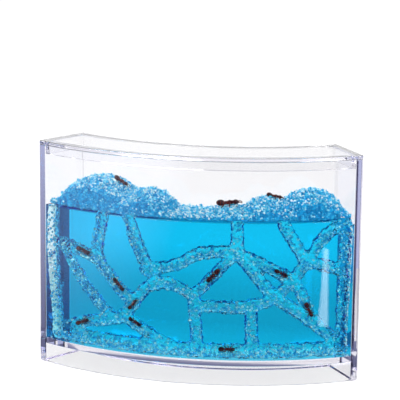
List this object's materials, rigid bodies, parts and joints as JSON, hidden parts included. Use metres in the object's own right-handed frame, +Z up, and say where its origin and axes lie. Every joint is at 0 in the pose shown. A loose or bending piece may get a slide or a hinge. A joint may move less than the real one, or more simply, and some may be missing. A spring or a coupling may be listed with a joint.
{
  "type": "ant habitat",
  "caption": "Clear arc-shaped ant habitat: a case with a raised floor, a lift-off lid, blue gel with dug tunnels, loose gel crumbs and ants.",
  "frame": {"origin": "on the ground, under the middle of the bounding box", "axes": "+Z up; the convex front faces -Y; X runs along the width"},
  "size_m": [0.1688, 0.0512, 0.119],
  "materials": {
    "clear_case": "clear moulded polystyrene, polished",
    "clear_lid": "clear moulded polystyrene, polished",
    "gel": "clear blue food gel, wet and smooth",
    "crumbs": "loose wet crumbs of the blue gel",
    "ant_shell": "dark red-brown ant shell, half gloss"
  },
  "bodies": {
    "case": {"case": "clear_case", "gel_block": "gel", "crumb_heap_left": "crumbs", "crumb_heap_middle": "crumbs", "crumb_heap_right": "crumbs", "ant_01": "ant_shell", "ant_02": "ant_shell", "ant_03": "ant_shell", "ant_04": "ant_shell", "ant_05": "ant_shell", "ant_06": "ant_shell", "ant_07": "ant_shell", "ant_08": "ant_shell", "ant_09": "ant_shell", "ant_10": "ant_shell", "ant_11": "ant_shell", "ant_12": "ant_shell"},
    "lid": {"lid": "clear_lid"}
  },
  "joints": [
    {"name": "lid_lift", "type": "slide", "parent": "case", "child": "lid", "axis": [0, 0, 1], "range_m": [0, 0.06]}
  ]
}
